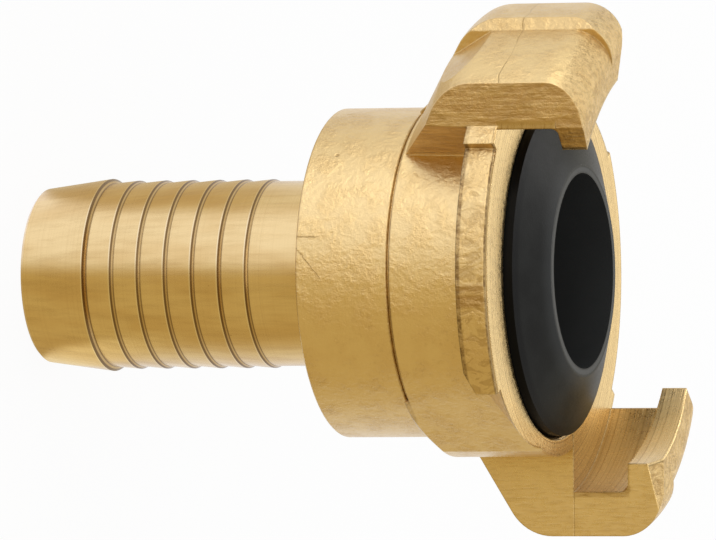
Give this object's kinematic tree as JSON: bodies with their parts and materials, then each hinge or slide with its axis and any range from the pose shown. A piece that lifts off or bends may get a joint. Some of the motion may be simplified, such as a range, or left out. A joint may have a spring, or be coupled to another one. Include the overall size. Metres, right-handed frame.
{
  "type": "claw hose coupling half",
  "caption": "Quarter turn claw coupling half in brass with a rubber face seal and a swivelling barbed hose tail.",
  "frame": {"origin": "centre of the hose tail's end, on the plane that the coupling stands on", "axes": "+Z along the water way toward the mating face; the two claws are centred on +X and -X"},
  "size_m": [0.0532, 0.0444, 0.0625],
  "materials": {
    "forged_brass": "satin",
    "turned_brass": "satin",
    "rubber": "satin",
    "white_plastic": "matte",
    "spring_steel": "satin"
  },
  "bodies": {
    "head": {"coupling_head": "forged_brass", "face_seal": "rubber", "snap_ring": "spring_steel", "slide_washer": "white_plastic"},
    "tail": {"hose_tail": "turned_brass", "tail_o_ring": "rubber"}
  },
  "joints": [
    {"name": "tail_swivel", "type": "hinge", "parent": "head", "child": "tail", "pos_m": [0, 0, 0.034], "axis": [0, 0, 1], "continuous": true}
  ]
}
